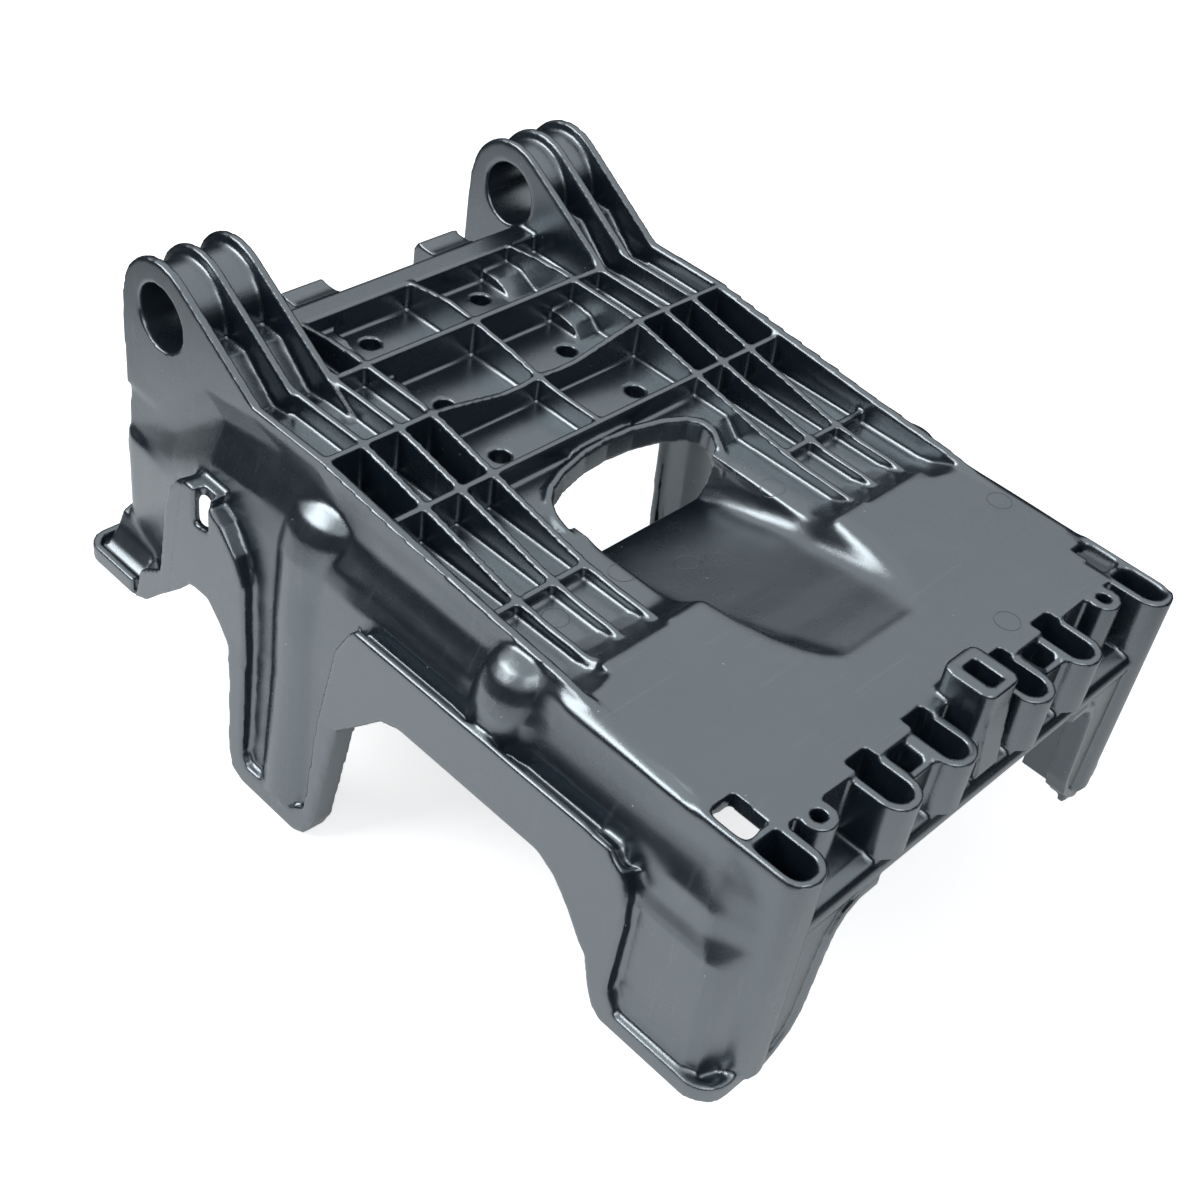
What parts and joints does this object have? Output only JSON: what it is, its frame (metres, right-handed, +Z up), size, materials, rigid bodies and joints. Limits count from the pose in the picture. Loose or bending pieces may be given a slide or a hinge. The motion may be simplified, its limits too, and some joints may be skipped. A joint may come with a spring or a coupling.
{
  "type": "battery tray",
  "caption": "Black moulded plastic battery tray with pivot lugs, ribbed deck, window and scoop, screw posts and splayed legs.",
  "frame": {"origin": "middle of the pivot bores' common axis", "axes": "+X across the tray along the pivot axis, +Y towards the lugs at the rear, +Z up, square to the deck"},
  "size_m": [0.2228, 0.3065, 0.1677],
  "materials": {
    "plastic": "satin"
  },
  "bodies": {
    "root": {"battery_tray": "plastic"}
  },
  "joints": []
}
